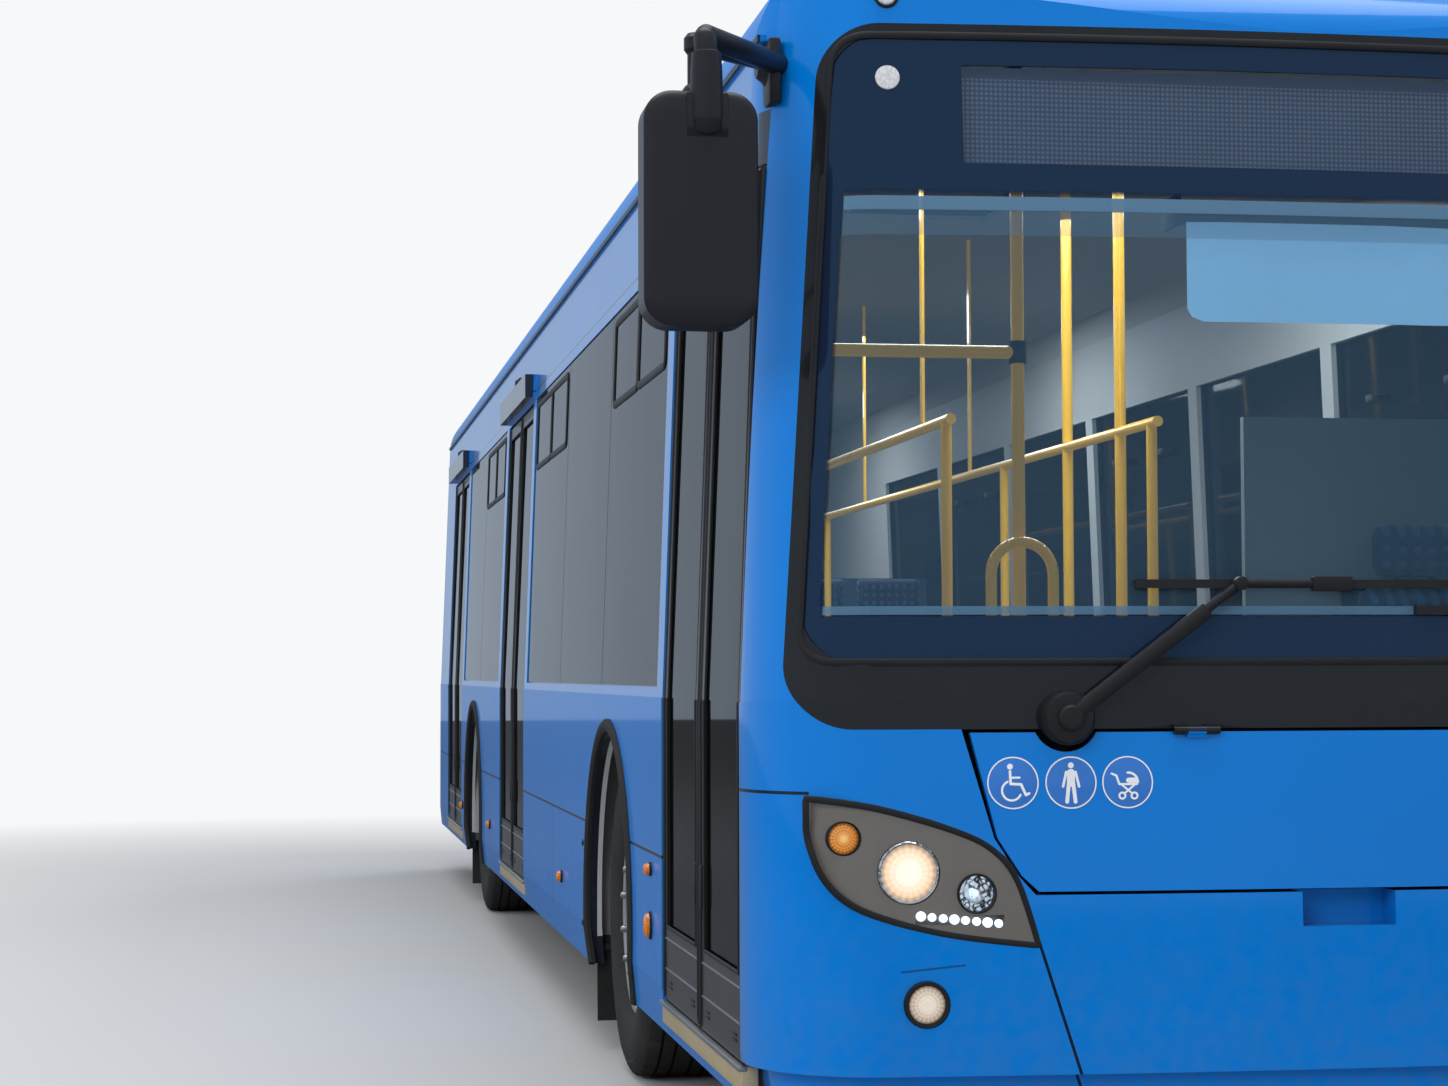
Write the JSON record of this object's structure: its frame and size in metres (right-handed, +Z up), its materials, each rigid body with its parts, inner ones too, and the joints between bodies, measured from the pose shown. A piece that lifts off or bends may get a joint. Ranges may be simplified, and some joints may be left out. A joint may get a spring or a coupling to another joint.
{
  "type": "low-floor city bus",
  "caption": "Low-floor city bus with double-leaf kerb-side doors, steered front wheels, twin rear wheels and a furnished saloon.",
  "frame": {"origin": "on the ground under the middle of the bus", "axes": "+X forward, +Y to the bus's left, +Z up"},
  "size_m": [12.0129, 2.992, 2.93],
  "materials": {
    "black_plastic": "satin",
    "black_rubber": "satin",
    "blue_paint": "gloss",
    "chassis_steel": "satin",
    "clear_glass": "polished",
    "dark_plastic": "matte",
    "door_frame": "satin",
    "engine_iron": "rough",
    "floor_covering": "matte",
    "grey_lining": "satin",
    "hatch_plastic": "satin",
    "lamp_housing": "satin",
    "red_lens": "gloss",
    "seat_cloth": "woven",
    "seat_shell": "satin",
    "sign_panel": "matte",
    "tinted_glass": "polished",
    "tyre": "matte",
    "wheel_steel": "satin",
    "yellow_rail": "gloss"
  },
  "bodies": {
    "body": {"axles": "chassis_steel", "cab_partition": "grey_lining", "chassis_frame": "chassis_steel", "cross_members": "chassis_steel", "dashboard": "dark_plastic", "destination_sign": "sign_panel", "driver_seat": "seat_cloth", "engine": "engine_iron", "engine_bay": "grey_lining", "floor": "floor_covering", "front_bumper": "blue_paint", "front_mask": "blue_paint", "handrails": "yellow_rail", "headlamps": "lamp_housing", "left_seats": "seat_shell", "left_side_panels": "blue_paint", "left_window_band": "blue_paint", "mirrors": "black_plastic", "rear_bench": "seat_shell", "rear_wall": "blue_paint", "right_seats": "seat_shell", "right_side_panels": "blue_paint", "right_window_band": "blue_paint", "roof": "blue_paint", "screen_surround": "black_rubber", "tail_lamps": "red_lens", "tow_eyes": "chassis_steel", "wheel_houses": "grey_lining", "window_glass": "tinted_glass", "windscreen": "clear_glass", "wipers": "black_plastic"},
    "front_door_front_leaf": {"front_door_front_leaf": "door_frame", "front_door_front_leaf_glass": "tinted_glass"},
    "front_door_rear_leaf": {"front_door_rear_leaf": "door_frame", "front_door_rear_leaf_glass": "tinted_glass"},
    "middle_door_front_leaf": {"middle_door_front_leaf": "door_frame", "middle_door_front_leaf_glass": "tinted_glass"},
    "middle_door_rear_leaf": {"middle_door_rear_leaf": "door_frame", "middle_door_rear_leaf_glass": "tinted_glass"},
    "rear_door_front_leaf": {"rear_door_front_leaf": "door_frame", "rear_door_front_leaf_glass": "tinted_glass"},
    "rear_door_rear_leaf": {"rear_door_rear_leaf": "door_frame", "rear_door_rear_leaf_glass": "tinted_glass"},
    "right_knuckle": {"right_knuckle": "chassis_steel"},
    "front_right_wheel": {"front_right_wheel": "wheel_steel", "front_right_tyre": "tyre"},
    "rear_right_wheels": {"rear_right_wheel": "wheel_steel", "rear_right_tyre": "tyre"},
    "left_knuckle": {"left_knuckle": "chassis_steel"},
    "front_left_wheel": {"front_left_wheel": "wheel_steel", "front_left_tyre": "tyre"},
    "rear_left_wheels": {"rear_left_wheel": "wheel_steel", "rear_left_tyre": "tyre"},
    "steering_wheel": {"steering_wheel": "dark_plastic"},
    "front_hatch": {"front_hatch": "blue_paint"},
    "engine_lid": {"engine_lid": "blue_paint"},
    "front_roof_hatch": {"front_roof_hatch": "hatch_plastic"},
    "rear_roof_hatch": {"rear_roof_hatch": "hatch_plastic"}
  },
  "joints": [
    {"name": "front_door_front_leaf_swing", "type": "hinge", "parent": "body", "child": "front_door_front_leaf", "pos_m": [5.632, -1.165, 0.373], "axis": [0, 0, -1], "range_deg": [0, 90]},
    {"name": "front_door_rear_leaf_swing", "type": "hinge", "parent": "body", "child": "front_door_rear_leaf", "pos_m": [4.418, -1.165, 0.373], "axis": [0, 0, 1], "range_deg": [0, 90]},
    {"name": "middle_door_front_leaf_swing", "type": "hinge", "parent": "body", "child": "middle_door_front_leaf", "pos_m": [0.182, -1.165, 0.373], "axis": [0, 0, -1], "range_deg": [0, 90]},
    {"name": "middle_door_rear_leaf_swing", "type": "hinge", "parent": "body", "child": "middle_door_rear_leaf", "pos_m": [-1.032, -1.165, 0.373], "axis": [0, 0, 1], "range_deg": [0, 90]},
    {"name": "rear_door_front_leaf_swing", "type": "hinge", "parent": "body", "child": "rear_door_front_leaf", "pos_m": [-3.768, -1.165, 0.373], "axis": [0, 0, -1], "range_deg": [0, 90]},
    {"name": "rear_door_rear_leaf_swing", "type": "hinge", "parent": "body", "child": "rear_door_rear_leaf", "pos_m": [-4.982, -1.165, 0.373], "axis": [0, 0, 1], "range_deg": [0, 90]},
    {"name": "right_steer", "type": "hinge", "parent": "body", "child": "right_knuckle", "pos_m": [3.2, -0.9, 0.478], "axis": [0, 0, 1], "range_deg": [-45, 45]},
    {"name": "front_right_wheel_spin", "type": "hinge", "parent": "right_knuckle", "child": "front_right_wheel", "pos_m": [3.2, -1.06, 0.478], "axis": [0, 1, 0], "continuous": true},
    {"name": "rear_right_wheels_spin", "type": "hinge", "parent": "body", "child": "rear_right_wheels", "pos_m": [-2.76, -1.06, 0.478], "axis": [0, 1, 0], "continuous": true},
    {"name": "left_steer", "type": "hinge", "parent": "body", "child": "left_knuckle", "pos_m": [3.2, 0.9, 0.478], "axis": [0, 0, 1], "range_deg": [-45, 45]},
    {"name": "front_left_wheel_spin", "type": "hinge", "parent": "left_knuckle", "child": "front_left_wheel", "pos_m": [3.2, 1.06, 0.478], "axis": [0, 1, 0], "continuous": true},
    {"name": "rear_left_wheels_spin", "type": "hinge", "parent": "body", "child": "rear_left_wheels", "pos_m": [-2.76, 1.06, 0.478], "axis": [0, 1, 0], "continuous": true},
    {"name": "steering_wheel_turn", "type": "hinge", "parent": "body", "child": "steering_wheel", "pos_m": [5.25, 0.76, 1.21], "axis": [-0.5299, 0, 0.848], "range_deg": [-720, 720]},
    {"name": "front_hatch_lift", "type": "hinge", "parent": "body", "child": "front_hatch", "pos_m": [5.982, 0, 1.091], "axis": [0, -1, 0], "range_deg": [0, 70]},
    {"name": "engine_lid_lift", "type": "hinge", "parent": "body", "child": "engine_lid", "pos_m": [-6.004, 0, 1.404], "axis": [0, 1, 0], "range_deg": [0, 80]},
    {"name": "front_roof_hatch_tilt", "type": "hinge", "parent": "body", "child": "front_roof_hatch", "pos_m": [2.711, 0, 2.896], "axis": [0, 1, 0], "range_deg": [0, 20]},
    {"name": "rear_roof_hatch_tilt", "type": "hinge", "parent": "body", "child": "rear_roof_hatch", "pos_m": [-2.489, 0, 2.896], "axis": [0, 1, 0], "range_deg": [0, 20]}
  ],
  "couplings": [
    {"joint": "left_steer", "follows": "right_steer", "ratio": 1},
    {"joint": "steering_wheel_turn", "follows": "right_steer", "ratio": 16}
  ]
}
